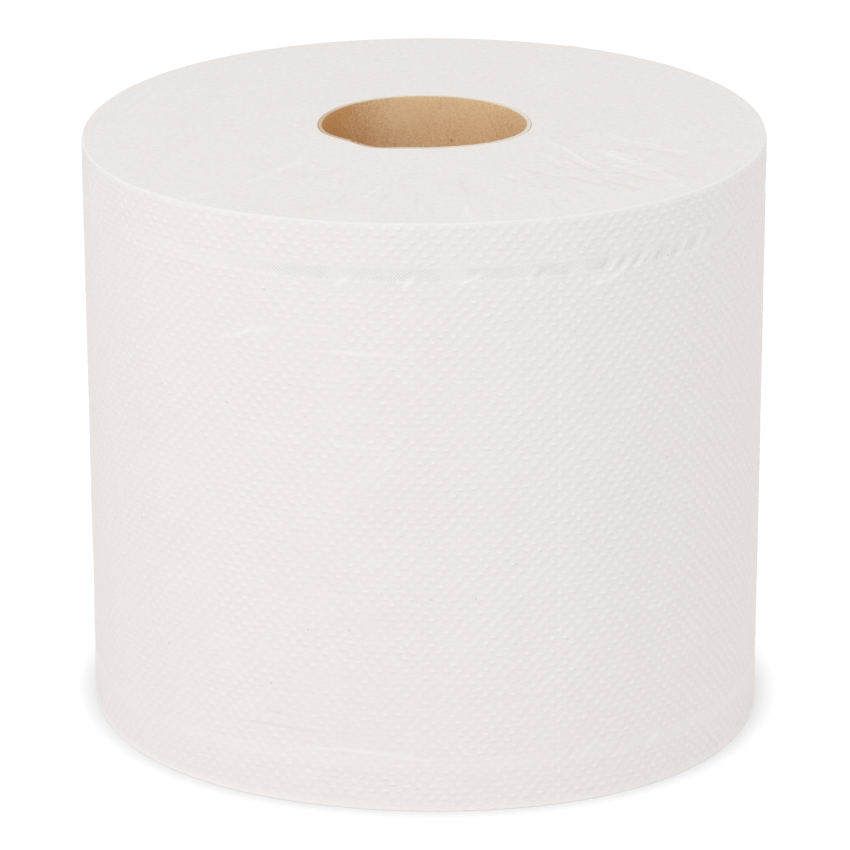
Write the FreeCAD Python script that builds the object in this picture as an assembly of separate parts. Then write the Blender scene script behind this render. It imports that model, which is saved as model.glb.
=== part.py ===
# Centre-pull paper towel roll: one long web of embossed tissue, wound on a kraft tube.
# Millimetres, +Z up. The origin is the middle of the base, on the surface that the roll stands on.
# Headings are in degrees about +Z from +X. The front of the roll faces -Y.

import FreeCAD, Part
import math
import os

# The web and its winding
roll_diameter = 221.0
sheet_width = 193.0
sheet_thickness = 0.23
tail_heading = 64.0

# The kraft tube
core_bore = 66.0
core_wall = 1.3
core_clearance = 0.1

# The middle of the roll stands proud of its rim at the top, and is drawn up from it at the base
middle_rise = 0.9
rise_reach = 32.0
turn_band = 15.5
turn_step = 0.2
turn_slope = 0.6

# The rim's softened edge
rim_soft = 0.6

# Two crimped bands hold the plies together, one near each end
crimp_margin = 13.5
crimp_width = 5.3
crimp_depth = 0.3
crimp_slope = 0.8

# Out of round: how far each lobe stands out, and where the first one points
top_oval = 1.1
top_oval_heading = 31.0
top_trefoil = 1.1
top_trefoil_heading = -31.0
top_square = 0.8
base_oval = 1.5
base_oval_heading = -33.0
base_square = 1.2
square_heading = 44.0

# The tube's mouth is crushed at the front: a broad dent, a fold that stands out of it, and a small dent
crush_height = 34.0
front_dent = 6.0
front_dent_heading = -85.0
front_dent_reach = 81.0
fold_rise = 1.4
fold_heading = -122.0
fold_reach = 22.0
side_dent = 1.6
side_dent_heading = -142.0
side_dent_reach = 26.0

# How finely curves are followed, and how far a cutting shape runs past what it cuts
outline_points = 24
side_levels = 3
mouth_points = 40
crush_steps = 5
overrun = 2.0

roll_radius = roll_diameter / 2
bore_radius = core_bore / 2
core_radius = bore_radius + core_wall
hole_radius = core_radius + core_clearance
top_lobes = (
    (2, top_oval, top_oval_heading),
    (3, top_trefoil, top_trefoil_heading),
    (4, top_square, square_heading),
)
base_lobes = (
    (2, base_oval, base_oval_heading),
    (4, base_square, square_heading),
)
mouth_dents = (
    (front_dent, front_dent_heading, front_dent_reach),
    (-fold_rise, fold_heading, fold_reach),
    (side_dent, side_dent_heading, side_dent_reach),
)


def at_heading(heading, radius, height):
    """The point at a heading and a distance from the roll's axis."""
    angle = math.radians(heading)
    return FreeCAD.Vector(radius * math.cos(angle), radius * math.sin(angle), height)


def bulge(heading, lobes):
    """How far these lobes push the outline out at a heading."""
    return sum(
        size * math.cos(count * math.radians(heading - first)) for count, size, first in lobes
    )


def outer_radius(turned, height):
    """The last turn's distance from the axis, a share of a turn after the tail's foot."""
    heading = tail_heading + 360 * turned
    rise = height / sheet_width
    uneven = rise * bulge(heading, top_lobes) + (1 - rise) * bulge(heading, base_lobes)
    wound = sheet_thickness * (turned - 1)
    return roll_radius + wound + uneven


def outer_section(height, inset):
    """A level outline of the roll: the last turn, and the tail's edge that steps down to its start."""
    points = []
    for index in range(outline_points + 1):
        turned = index / outline_points
        radius = outer_radius(turned, height) - inset
        points.append(at_heading(tail_heading + 360 * turned, radius, height))
    turn = Part.BSplineCurve()
    turn.interpolate(points)
    return Part.Wire([turn.toShape(), Part.makeLine(points[-1], points[0])])


def crimp_levels(first):
    """The levels of a crimped band whose lower edge is at this height: its slopes and its flat."""
    last = first + crimp_width
    return [
        (first, 0),
        (first + crimp_slope, crimp_depth),
        (last - crimp_slope, crimp_depth),
        (last, 0),
    ]


def rolled_body():
    """The roll's side with its soft rims and crimped bands, longer than the roll at both ends."""
    lower_end = crimp_margin + crimp_width
    upper_crimp = sheet_width - lower_end
    levels = [(-overrun, rim_soft + overrun), (rim_soft, 0)]
    levels += crimp_levels(crimp_margin)
    for index in range(1, side_levels):
        levels.append((lower_end + (upper_crimp - lower_end) * index / side_levels, 0))
    levels += crimp_levels(upper_crimp)
    levels += [(sheet_width - rim_soft, 0), (sheet_width + overrun, rim_soft + overrun)]
    sections = [outer_section(height, inset) for height, inset in levels]
    return Part.makeLoft(sections, True, True)


def turn_rise(radius):
    """How far the turns at this radius have slid up along the roll."""
    share = max(0, 1 - (radius - hole_radius) / rise_reach)
    return middle_rise * share**2


def end_steps():
    """Bands of turns from the hole outwards: each one's inner radius, outer radius and rise."""
    count = math.ceil((roll_radius - hole_radius) / turn_band)
    steps = []
    for index in range(count):
        inner = hole_radius + index * turn_band
        outer = inner + turn_band
        proud = turn_step if index % 2 else 0
        steps.append((inner, outer, turn_rise(inner) + proud))
    return steps


def end_trim():
    """A round body whose two ends are stepped as the wound turns are, wider than the roll."""
    base = []
    top = []
    steps = end_steps()
    for inner, outer, rise in steps:
        base += [(inner + turn_slope, rise), (outer, rise)]
        top += [(inner + turn_slope, sheet_width + rise), (outer, sheet_width + rise)]
    wide = steps[-1][1] + roll_radius
    base[0] = (0, base[0][1])
    top[0] = (0, top[0][1])
    base[-1] = (wide, base[-1][1])
    top[-1] = (wide, top[-1][1])
    corners = [FreeCAD.Vector(radius, 0, height) for radius, height in base + top[::-1]]
    half_section = Part.Face(Part.makePolygon(corners + corners[:1]))
    return half_section.revolve(FreeCAD.Vector(0, 0, 0), FreeCAD.Vector(0, 0, 1), 360)


def dent_depth(heading):
    """How far the crushed mouth is pushed in at a heading: a smooth hump for each dent."""
    depth = 0
    for size, middle, reach in mouth_dents:
        away = abs((heading - middle + 180) % 360 - 180) / reach
        if away < 1:
            depth += size * math.cos(away * math.pi / 2) ** 2
    return depth


def mouth_section(radius, height, crush):
    """A level outline of the tube's crushed mouth, fully dented where crush is 1."""
    points = []
    for index in range(mouth_points):
        heading = 360 * index / mouth_points
        points.append(at_heading(heading, radius - crush * dent_depth(heading), height))
    outline = Part.BSplineCurve()
    outline.interpolate(points, PeriodicFlag=True)
    return Part.Wire([outline.toShape()])


def column(radius, low, high):
    """A column along the tube: round up to the crushed mouth, then smoothly deeper dents."""
    top = sheet_width + middle_rise
    crush_start = top - crush_height
    round_part = Part.makeCylinder(radius, crush_start - low, FreeCAD.Vector(0, 0, low))
    rim = Part.makeCircle(radius, FreeCAD.Vector(0, 0, crush_start))
    sections = [Part.Wire([rim])]
    for index in range(1, crush_steps + 1):
        share = index / crush_steps
        crush = share**2 * (3 - 2 * share)
        sections.append(mouth_section(radius, crush_start + crush_height * share, crush))
    if high > top:
        sections.append(mouth_section(radius, high, 1))
    return round_part.fuse(Part.makeLoft(sections, True, True))


def wound_paper():
    """The web as wound: its side, its stepped ends and the hole that the tube fills."""
    hole = column(hole_radius, -overrun, sheet_width + middle_rise + overrun)
    return rolled_body().common(end_trim()).cut(hole)


def core_tube():
    """The kraft tube, as long as the web is wide, with its mouth crushed at the front."""
    top = sheet_width + middle_rise
    outside = column(core_radius, middle_rise, top)
    inside = column(bore_radius, middle_rise - overrun, top + overrun)
    return outside.cut(inside)


def only_solid(shape):
    """The one solid that a boolean result holds."""
    return shape.Solids[0] if len(shape.Solids) == 1 else shape


os.makedirs("parts", exist_ok=True)
only_solid(wound_paper()).exportStep("parts/wound_paper.step")
only_solid(core_tube()).exportStep("parts/core_tube.step")
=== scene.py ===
import functools
import itertools
import logging
import math
from collections.abc import Callable
from dataclasses import dataclass, field
from enum import Enum
from typing import Any

import bpy
import numpy as np
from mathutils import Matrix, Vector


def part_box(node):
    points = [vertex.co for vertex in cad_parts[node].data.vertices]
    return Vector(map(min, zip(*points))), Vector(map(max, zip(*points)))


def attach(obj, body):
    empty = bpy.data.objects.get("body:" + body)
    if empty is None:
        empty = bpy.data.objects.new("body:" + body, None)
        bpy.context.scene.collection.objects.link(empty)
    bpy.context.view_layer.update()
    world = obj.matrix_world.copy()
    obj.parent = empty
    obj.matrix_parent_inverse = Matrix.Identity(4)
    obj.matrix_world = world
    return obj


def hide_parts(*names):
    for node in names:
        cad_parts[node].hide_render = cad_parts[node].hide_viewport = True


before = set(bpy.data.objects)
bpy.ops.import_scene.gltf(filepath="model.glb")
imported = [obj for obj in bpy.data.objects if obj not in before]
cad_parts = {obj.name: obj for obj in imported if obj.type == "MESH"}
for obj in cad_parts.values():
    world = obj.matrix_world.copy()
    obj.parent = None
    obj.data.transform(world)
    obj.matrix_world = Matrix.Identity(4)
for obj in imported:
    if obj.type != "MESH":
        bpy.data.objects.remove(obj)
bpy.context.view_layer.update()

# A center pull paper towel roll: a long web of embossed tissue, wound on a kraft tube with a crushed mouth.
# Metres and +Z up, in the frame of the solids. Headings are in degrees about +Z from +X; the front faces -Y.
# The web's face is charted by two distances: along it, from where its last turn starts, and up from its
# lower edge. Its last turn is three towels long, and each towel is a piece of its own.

log = logging.getLogger("paper_towel_roll")

MM = 0.001
FULL_TURN = 2 * math.pi
SURFACE_GAP = 0.01 * MM  # what the dressed face keeps from the solid's surface
DOT_TABLE = 4093  # how many dot strengths are drawn, a prime
DOT_STRIDES = (127, 31, 18)  # steps in that table for a dot's place along, its place up and its lattice
DOT_SEED = 11
STEPS_A_DOT = 6
LATTICE_SHIFT = 0.5  # how far the dots' second lattice lies from the first, in pitches, both ways

HeadingTable = tuple[tuple[float, float], ...]


# ---- Shapes on arrays ----


def smooth_step(value: np.ndarray, low: float, high: float) -> np.ndarray:
    """Rises from 0 at low to 1 at high along 3t² - 2t³.

    Args:
        value: Where to read the step.
        low: Where it is still 0.
        high: Where it has become 1. It may be below low, and the step then falls.

    Returns:
        The step's height, from 0 to 1, with the shape of value.
    """
    share = np.clip((value - low) / (high - low), 0, 1)
    return share**2 * (3 - 2 * share)


@dataclass(frozen=True)
class Waves:
    """Smooth unevenness: a sum of plane waves with lengths, directions and phases from a seeded draw.

    Attributes:
        seed: The seed of the draw.
        longest: The longest wave.
        shortest: The shortest wave.
        size: Its spread; it mostly stays within twice this.
        stretch: How many times longer the waves are across the first coordinate than across the second.
        count: How many waves are added up.
    """

    seed: int
    longest: float
    shortest: float
    size: float = 1.0
    stretch: float = 1.0
    count: int = 20

    def at(self, first: np.ndarray, second: np.ndarray) -> np.ndarray:
        """The sum of sin(2π(x cos a + y sin a) / length + phase), scaled to the spread.

        Args:
            first: The first coordinate, x.
            second: The second coordinate, y.

        Returns:
            The unevenness at each place.
        """
        draw = np.random.default_rng(self.seed)
        lengths = self.longest * (self.shortest / self.longest) ** draw.random(self.count)
        directions = draw.random(self.count) * FULL_TURN
        phases = draw.random(self.count) * FULL_TURN
        total = np.zeros(np.broadcast(first, second).shape)
        for length, direction, phase in zip(lengths, directions, phases):
            travel = first / self.stretch * math.cos(direction) + second * math.sin(direction)
            total += np.sin(FULL_TURN * travel / length + phase)
        return self.size * total / math.sqrt(self.count / 2)


@dataclass(frozen=True)
class Fold:
    """A soft ridge along a path on a chart, or a furrow where its size is negative.

    Attributes:
        path: The places that it passes, as the chart's two distances.
        width: The half width at which it has fallen to about a third.
        size: Its height at the middle.
        taper: How bluntly it fades towards its two ends: nearer to 0 is blunter.
    """

    path: tuple[tuple[float, float], ...]
    width: float
    size: float
    taper: float = 0.6

    def at(self, first: np.ndarray, second: np.ndarray) -> np.ndarray:
        """A bell by the distance to the path, size · exp(-(distance / width)²), that fades to both ends.

        Args:
            first: The chart's first distance.
            second: The chart's second distance.

        Returns:
            The fold's height at each place.
        """
        path = np.array(self.path)
        steps = np.hypot(*np.diff(path, axis=0).T)
        travelled = np.concatenate([[0.0], np.cumsum(steps)]) / steps.sum()
        nearest = np.full(first.shape, np.inf)
        share = np.zeros(first.shape)
        for index, (start, run) in enumerate(zip(path[:-1], np.diff(path, axis=0))):
            x, y = first - start[0], second - start[1]
            along = np.clip((x * run[0] + y * run[1]) / steps[index] ** 2, 0, 1)
            off = np.hypot(x - run[0] * along, y - run[1] * along)
            closer = off < nearest
            nearest = np.where(closer, off, nearest)
            share = np.where(closer, travelled[index] + along * steps[index] / steps.sum(), share)
        fade = np.clip(4 * share * (1 - share), 0, 1) ** self.taper
        return self.size * fade * np.exp(-((nearest / self.width) ** 2))


# A row for each fold: its half width and its size in millimetres, and then the places that its path passes
FoldTable = tuple[tuple[float, ...], ...]


def folds_on(table: FoldTable, place: Callable[[float, float], tuple[float, float]]) -> list[Fold]:
    """The folds of a table's rows.

    Args:
        table: The table.
        place: What turns a place of a path into a chart's two distances.

    Returns:
        The folds, in the table's order.
    """
    return [
        Fold(tuple(map(place, path[::2], path[1::2])), width * MM, size * MM) for width, size, *path in table
    ]


def grid_object(
    name: str,
    points: np.ndarray,
    chart: np.ndarray,
    around: bool,
    across: bool = False,
    marks: dict[str, np.ndarray] | None = None,
) -> bpy.types.Object:
    """Makes an object from a grid of points, with quads between neighbours and a UV map from the chart.

    A quad's corners go along the row and then to the next row, so faces look along row × next row.

    Args:
        name: The object's name.
        points: The grid, as rows × columns × 3.
        chart: The UV of each corner, with one more column if around is set, and one more row if across is.
        around: Whether the last column is joined to the first.
        across: Whether the last row is joined to the first.
        marks: Values for the finish to read at each point, by their attribute's name.

    Returns:
        The linked object, smooth shaded.
    """
    rows, columns, _ = points.shape
    line = np.arange(rows + across) % rows
    ring = np.arange(columns + around) % columns
    index = line[:, None] * columns + ring[None, :]
    spot = np.arange(index.size).reshape(index.shape)
    corners = [np.s_[:-1, :-1], np.s_[:-1, 1:], np.s_[1:, 1:], np.s_[1:, :-1]]
    quads = np.stack([index[part] for part in corners], axis=-1).reshape(-1, 4)
    spots = np.stack([spot[part] for part in corners], axis=-1).reshape(-1)
    mesh = bpy.data.meshes.new(name)
    mesh.vertices.add(rows * columns)
    mesh.vertices.foreach_set("co", points.astype(np.float32).ravel())
    mesh.loops.add(quads.size)
    mesh.loops.foreach_set("vertex_index", quads.astype(np.int32).ravel())
    mesh.polygons.add(len(quads))
    mesh.polygons.foreach_set("loop_start", np.arange(len(quads), dtype=np.int32) * 4)
    mesh.polygons.foreach_set("use_smooth", np.ones(len(quads), dtype=bool))
    layer = mesh.uv_layers.new(name="chart")
    layer.data.foreach_set("uv", chart.reshape(-1, 2)[spots].astype(np.float32).ravel())
    for mark, values in (marks or {}).items():
        held = mesh.attributes.new(mark, "FLOAT", "POINT")
        held.data.foreach_set("value", values.astype(np.float32).ravel())
    mesh.update(calc_edges=True)
    mesh.validate()
    made = bpy.data.objects.new(name, mesh)
    bpy.context.scene.collection.objects.link(made)
    return made


def report(piece: bpy.types.Object) -> None:
    """Logs a finished piece's name and size."""
    log.info("%s: %d faces", piece.name, len(piece.data.polygons))


# ---- The roll's form, as the solids have it ----


@dataclass(frozen=True)
class Lobe:
    """One wave of an out-of-round outline.

    Attributes:
        count: How many humps it has.
        size: How far they stand out.
        heading: The first one's heading.
    """

    count: int
    size: float
    heading: float


@dataclass(frozen=True)
class Dent:
    """A smooth hump pressed into the tube's mouth, or out of it where its size is negative.

    Attributes:
        size: How deep it is.
        heading: Its middle's heading.
        reach: How many degrees it reaches to each side.
    """

    size: float
    heading: float
    reach: float


@dataclass(frozen=True)
class RollForm:
    """The sizes of the wound web and its tube, and the outlines that follow from them.

    Attributes:
        web_top: The height of the web's highest place, at the tube, from the frame.
        roll_diameter: Across the last turn.
        sheet_thickness: What each turn adds.
        tail_heading: Where the web's loose end lies.
        middle_rise: How far the innermost turns have slid up.
        rise_reach: How far from the hole that slide reaches.
        rim_soft: The rounding of the roll's upper rim.
        base_soft: The rounding of its lower rim, pressed sharper by the roll's weight.
        core_bore: The tube's inner diameter.
        core_wall: The tube's wall.
        core_clearance: The gap between the tube and the web.
        crush_height: How far down the tube's mouth is crushed.
        top_lobes: The outline's unevenness at the top.
        base_lobes: The outline's unevenness at the base.
        mouth_dents: The dents in the tube's mouth.
    """

    web_top: float
    roll_diameter: float = 221.0 * MM
    sheet_thickness: float = 0.23 * MM
    tail_heading: float = 64.0
    middle_rise: float = 0.9 * MM
    rise_reach: float = 32.0 * MM
    rim_soft: float = 0.6 * MM
    base_soft: float = 0.15 * MM
    core_bore: float = 66.0 * MM
    core_wall: float = 1.3 * MM
    core_clearance: float = 0.1 * MM
    crush_height: float = 34.0 * MM
    top_lobes: tuple[Lobe, ...] = (
        Lobe(2, 1.1 * MM, 31.0),
        Lobe(3, 1.1 * MM, -31.0),
        Lobe(4, 0.8 * MM, 44.0),
    )
    base_lobes: tuple[Lobe, ...] = (Lobe(2, 1.5 * MM, -33.0), Lobe(4, 1.2 * MM, 44.0))
    mouth_dents: tuple[Dent, ...] = (
        Dent(6.0 * MM, -85.0, 81.0),
        Dent(-1.4 * MM, -122.0, 22.0),
        Dent(1.6 * MM, -142.0, 26.0),
    )

    @property
    def sheet_width(self) -> float:
        """The web's width, which is the rim's height."""
        return self.web_top - self.middle_rise

    @property
    def turn_length(self) -> float:
        """The length of web in the last turn."""
        return math.pi * self.roll_diameter

    @property
    def bore_radius(self) -> float:
        """The tube's inner radius."""
        return self.core_bore / 2

    @property
    def core_radius(self) -> float:
        """The tube's outer radius."""
        return self.bore_radius + self.core_wall

    @property
    def hole_radius(self) -> float:
        """The radius of the hole in the wound web."""
        return self.core_radius + self.core_clearance

    def heading(self, along: np.ndarray) -> np.ndarray:
        """The heading in radians at a distance along the last turn."""
        return math.radians(self.tail_heading) + FULL_TURN * along / self.turn_length

    def outer_radius(self, along: np.ndarray, up: np.ndarray) -> np.ndarray:
        """The last turn's distance from the axis: a spiral that grows by one thickness a turn, pushed out
        by the lobes of the base and the top in proportion to the height.

        Args:
            along: The distance along the last turn.
            up: The height above the base.

        Returns:
            The radius at each place.
        """
        heading = self.heading(along)
        rise = up / self.sheet_width
        uneven = rise * self._bulge(heading, self.top_lobes)
        uneven = uneven + (1 - rise) * self._bulge(heading, self.base_lobes)
        return self.roll_diameter / 2 + self.sheet_thickness * (along / self.turn_length - 1) + uneven

    def turn_rise(self, radius: np.ndarray) -> np.ndarray:
        """How far the turns at a radius have slid up: middle_rise · (1 - distance / reach)²."""
        share = np.clip(1 - (radius - self.hole_radius) / self.rise_reach, 0, 1)
        return self.middle_rise * share**2

    def mouth_radius(self, radius: float, heading: np.ndarray, up: np.ndarray) -> np.ndarray:
        """A wall of the tube, pressed in by cosine-squared dents that deepen smoothly to the mouth.

        Args:
            radius: The wall's radius where it is round.
            heading: The heading in radians.
            up: The height above the base.

        Returns:
            The wall's distance from the axis at each place.
        """
        depth = np.zeros(np.shape(heading))
        for dent in self.mouth_dents:
            turn = (np.degrees(heading) - dent.heading + 180) % 360 - 180
            away = np.clip(np.abs(turn) / dent.reach, 0, 1)
            depth = depth + dent.size * np.cos(away * math.pi / 2) ** 2
        return radius - smooth_step(up, self.web_top - self.crush_height, self.web_top) * depth

    @staticmethod
    def _bulge(heading: np.ndarray, lobes: tuple[Lobe, ...]) -> np.ndarray:
        """The sum of size · cos(count · (heading - first hump)) over the lobes."""
        return sum(wave.size * np.cos(wave.count * (heading - math.radians(wave.heading))) for wave in lobes)


def placed(radius: np.ndarray, heading: np.ndarray, up: np.ndarray) -> np.ndarray:
    """Points from cylinder coordinates: x = r cos a, y = r sin a, z = height.

    Args:
        radius: The distance from the axis.
        heading: The heading in radians.
        up: The height.

    Returns:
        An array with one more axis, of length 3.
    """
    radius, heading, up = np.broadcast_arrays(radius, heading, up)
    return np.stack([radius * np.cos(heading), radius * np.sin(heading), up], axis=-1)


# ---- The web's embossed face ----


# The face's loose creases, with paths of headings in degrees and heights in millimetres
CREASES: FoldTable = (
    (0.5, 0.17, -125.8, 150.8, -121.4, 153.4, -119, 155.6, -114.2, 156.6),
    (0.5, 0.12, -110.4, 151.2, -103.7, 151.3, -98.8, 150.6),
    (0.5, 0.14, -104.4, 150.9, -99, 150.9, -93.6, 150.4),
    (0.5, 0.1, -121.4, 122.8, -115.5, 122.9, -109.5, 121.9), (0.5, 0.1, -108.5, 121.6, -98, 120.6),
    (0.5, -0.3, -121, 24.8, -114.5, 24.9, -107.5, 24),
    (0.5, 0.2, -114, 18.4, -102.5, 19.6, -97, 18.9, -88.5, 17), (0.5, -0.2, -118, 30, -111, 28.4),
    (0.5, -0.22, -80, 36.5, -66.8, 37.2), (0.6, 0.16, -51, 60, -44.5, 61.5),
    (0.6, 0.28, -62.6, 170.4, -59.2, 171, -56, 173.2),
)
# The short puckers that slant across its crimped bands, in the same way
PUCKERS: FoldTable = (
    (0.6, 0.3, -84, 173.2, -80.2, 177.2), (0.6, -0.44, -71.6, 174, -69.8, 177.6),
    (0.6, 0.28, -73.4, 173.4, -71.4, 177.6), (0.6, -0.4, -60.8, 173.8, -58.8, 178.2),
    (0.6, 0.3, -59.2, 173.6, -56.8, 178.2), (0.6, -0.44, -57.6, 173.4, -55.6, 178),
    (0.6, 0.32, -56.6, 172.8, -53.8, 178.2), (0.6, -0.44, -55.2, 172.6, -52.6, 178.2),
    (0.6, 0.32, -54.2, 172.6, -51.2, 178.4), (0.6, 0.26, -51.6, 173.4, -49.6, 178.6),
    (0.6, -0.46, -50.2, 173.2, -48.4, 178.2), (0.6, 0.28, -47.8, 173.6, -46.2, 178.8),
    (0.65, -0.5, -46.6, 173, -44.4, 178.6), (0.6, 0.3, -45, 173.4, -42.8, 179),
    (0.65, -0.46, -42.6, 173.6, -40.6, 178.8), (0.7, 0.32, -41.2, 173.4, -38.4, 179.6),
    (0.7, -0.42, -39.4, 173.4, -36.8, 179.2), (0.8, -0.3, -33.4, 172, -28.4, 177.2),
    (0.8, 0.24, -104.6, 172.6, -101.6, 176.2), (0.8, 0.24, -93.4, 172.8, -91.2, 176.6),
    (0.7, -0.26, -66.6, 13.6, -64.4, 18.6), (0.7, 0.12, -64, 13.6, -61.6, 18.6),
    (0.7, -0.3, -58.2, 12.6, -56, 17.4), (0.8, -0.26, -52.6, 12.4, -50.6, 17),
    (0.7, 0.12, -50.6, 13.4, -48.4, 17.8), (1, -0.34, 20, 171.6, 24, 178.4), (1, 0.34, 26, 172, 29, 179),
    (1, -0.34, 108, 171.4, 112, 178), (1, 0.34, 113.6, 172.4, 116.4, 179.2),
    (1, -0.34, 166, 172, 170, 179),
)


@dataclass(frozen=True)
class WebFace:
    """The relief of the web's outer face, as heights above or below the solid's outline.

    Attributes:
        form: The roll's form.
        dot_pitch: From one dot to the next along a row; rows are half of it apart, and staggered.
        dot_along: Where a dot has fallen to nothing, along the web.
        dot_up: The same, up its width.
        dot_height: How far a dot stands out of the sheet.
        faintest_dot: The strength of the faintest dot, as a share of the strongest.
        drawn: How the winding has drawn the sheet and its dots out of line, along it and up it.
        uneven: The sheet's slow and quick unevenness.
        web_inset: How far the sheet between the dots lies inside the outline.
        straight_rim: From the web's edge to where the sheet is fully drawn out of line.
        plain_rim: Over which distances from the web's edges the relief sets in.
        crimp_margin: From the web's edge to its crimped band.
        crimp_width: The band's width.
        crimp_slope: How far the band's edges slope.
        crimp_press: How much deeper than the sheet the band is pressed.
        upper_crimp: How firmly the upper band is crimped, as headings and shares.
        lower_crimp: The same for the lower band.
        firm: How firmly the dots are pressed, as headings and shares.
        firm_patches: How that varies from place to place.
        firm_range: The least and the most that it comes to.
        worn_base: How much fainter the dots are at the base, and the heights where that ends.
        crisp_top: How much firmer they are above the upper band, and the heights where that starts.
        towel_length: From one perforation to the next.
        slit_pitch: From one of a perforation's slits to the next.
        slit_ends: The wave's heights between which a slit ends and its bond starts.
        slit_width: How far beside its line a perforation draws the sheet in.
        slit_depth: How far it draws the sheet in.
        tail_lift: How far the web's loose end stands off the roll.
        tail_reach: How far back from its edge the loose end starts to lift.
        full_fold: The height from which a crease's painted highlight on its crest, or the painted shade
        in its furrow, is full.
    """

    form: RollForm
    dot_pitch: float = 4.3 * MM
    dot_along: float = 1.5 * MM
    dot_up: float = 1.15 * MM
    dot_height: float = 0.28 * MM
    faintest_dot: float = 0.6
    drawn: tuple[Waves, Waves] = (
        Waves(61, 40 * MM, 6 * MM, 0.16 * MM),
        Waves(62, 40 * MM, 6 * MM, 0.16 * MM),
    )
    uneven: tuple[Waves, Waves] = (
        Waves(5, 90 * MM, 22 * MM, 0.035 * MM, stretch=1.6),
        Waves(6, 16 * MM, 5 * MM, 0.012 * MM, stretch=1.6),
    )
    web_inset: float = 0.34 * MM
    straight_rim: float = 8 * MM
    plain_rim: tuple[float, float] = (0.2 * MM, 2.2 * MM)
    crimp_margin: float = 13.5 * MM
    crimp_width: float = 5.3 * MM
    crimp_slope: float = 0.8 * MM
    crimp_press: float = 0.015 * MM
    upper_crimp: HeadingTable = (
        (-152.0, 0.1), (-134.0, 0.25), (-124.0, 0.65), (-114.0, 1.0),
        (-40.0, 1.0), (-34.0, 0.6), (-24.0, 0.2), (10.0, 0.5),
        (60.0, 0.9), (150.0, 0.7),
    )
    lower_crimp: HeadingTable = (
        (-150.0, 0.3), (-82.0, 0.3), (-54.0, 0.55), (-40.0, 0.4),
        (20.0, 0.5), (110.0, 0.7),
    )
    firm: HeadingTable = (
        (-165.0, 0.75), (-130.0, 0.64), (-105.0, 0.82), (-75.0, 1.08),
        (-55.0, 1.38), (-20.0, 1.42), (20.0, 1.1), (90.0, 1.05),
        (160.0, 0.95),
    )
    firm_patches: Waves = Waves(3, 60 * MM, 14 * MM, 0.12)
    firm_range: tuple[float, float] = (0.45, 1.7)
    worn_base: tuple[float, float, float] = (0.18, 20 * MM, 90 * MM)
    crisp_top: tuple[float, float, float] = (0.2, 172 * MM, 182 * MM)
    towel_length: float = 254.0 * MM
    slit_pitch: float = 5.0 * MM
    slit_ends: tuple[float, float] = (0.1, 0.5)
    slit_width: float = 0.3 * MM
    slit_depth: float = 0.1 * MM
    tail_lift: float = 0.2 * MM
    tail_reach: float = 9.0 * MM
    full_fold: float = 0.4 * MM

    @property
    def step(self) -> float:
        """The grid's spacing: an even number of steps to a dot's pitch, so every dot has a top point."""
        return self.dot_pitch / STEPS_A_DOT

    def spot(self, heading: float, up: float) -> tuple[float, float]:
        """The chart's distances of a place given by its heading in degrees and its height in millimetres."""
        turned = (heading - self.form.tail_heading) % 360 / 360
        return turned * self.form.turn_length, up * MM

    def chart(self, along: np.ndarray, up: np.ndarray) -> tuple[np.ndarray, np.ndarray]:
        """The sheet's own two distances: the roll's, drawn out of line by slow waves that fade at the rims.

        Args:
            along: The distance along the last turn.
            up: The height above the base.

        Returns:
            The distance along the sheet and up it, at each place.
        """
        inner = smooth_step(np.minimum(up, self.form.sheet_width - up), 0.0, self.straight_rim)
        moved_along, moved_up = (inner * waves.at(along, up) for waves in self.drawn)
        return along + moved_along, up + moved_up

    def _by_heading(self, table: HeadingTable, along: np.ndarray) -> np.ndarray:
        """A table's shares, read by the heading of each place and straight between its rows."""
        headings, shares = zip(*table)
        return np.interp(np.degrees(self.form.heading(along)), headings, shares, period=360)

    def firmness(self, along: np.ndarray, up: np.ndarray) -> np.ndarray:
        """How firmly the dots are pressed: by the heading, least near the base, and uneven all round.

        Args:
            along: The distance along the web.
            up: The height above its lower edge.

        Returns:
            The firmness at each place, from about 0 to 1.
        """
        worn, *worn_heights = self.worn_base
        crisp, *crisp_heights = self.crisp_top
        level = 1 - worn + worn * smooth_step(up, *worn_heights) + crisp * smooth_step(up, *crisp_heights)
        pressed = level * self._by_heading(self.firm, along) + self.firm_patches.at(along, up)
        return np.clip(pressed, *self.firm_range)

    def dots(self, along: np.ndarray, up: np.ndarray) -> np.ndarray:
        """Raised oval dots on a square lattice that is turned by 45 degrees.

        Each one falls off as (1 - d²)², with d from 0 at its middle to 1 at its edge, and has its own
        strength, from a seeded table that is read by its place in the lattice.

        Args:
            along: The distance along the web.
            up: The height above its lower edge.

        Returns:
            The dots' relief, from 0 to about 1.
        """
        drawn = np.random.default_rng(DOT_SEED).random(DOT_TABLE)
        strengths = self.faintest_dot + (1 - self.faintest_dot) * drawn
        relief = np.zeros(along.shape)
        for shift in (0.0, LATTICE_SHIFT):
            cell_along = np.round(along / self.dot_pitch - shift)
            cell_up = np.round(up / self.dot_pitch - shift)
            away_along = along - (cell_along + shift) * self.dot_pitch
            away_up = up - (cell_up + shift) * self.dot_pitch
            share = (away_along / self.dot_along) ** 2 + (away_up / self.dot_up) ** 2
            places = np.stack([cell_along, cell_up, np.full(along.shape, shift)])
            which = np.tensordot(DOT_STRIDES, places, axes=1).astype(int) % DOT_TABLE
            relief += strengths[which] * np.clip(1 - share, 0, 1) ** 2
        return relief

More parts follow.
